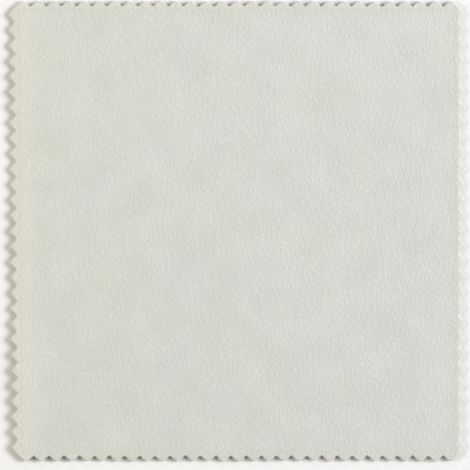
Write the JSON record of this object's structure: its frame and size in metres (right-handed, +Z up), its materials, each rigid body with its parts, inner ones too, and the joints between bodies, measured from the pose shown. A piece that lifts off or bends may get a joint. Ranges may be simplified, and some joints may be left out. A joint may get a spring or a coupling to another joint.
{
  "type": "chamois leather",
  "caption": "Square sheet of soft, pale chamois leather for wiping, drying and polishing, pinked to a zigzag on every side so that it doesn't fray.",
  "frame": {"origin": "on the surface that the sheet lies on, under the middle of the sheet", "axes": "+Z up, out of the grain side; +Y towards the sheet's upper edge; +X towards its right edge"},
  "size_m": [0.1484, 0.15, 0.0016],
  "materials": {
    "chamois_leather": "matte"
  },
  "bodies": {
    "root": {"chamois_sheet": "chamois_leather"}
  },
  "joints": []
}
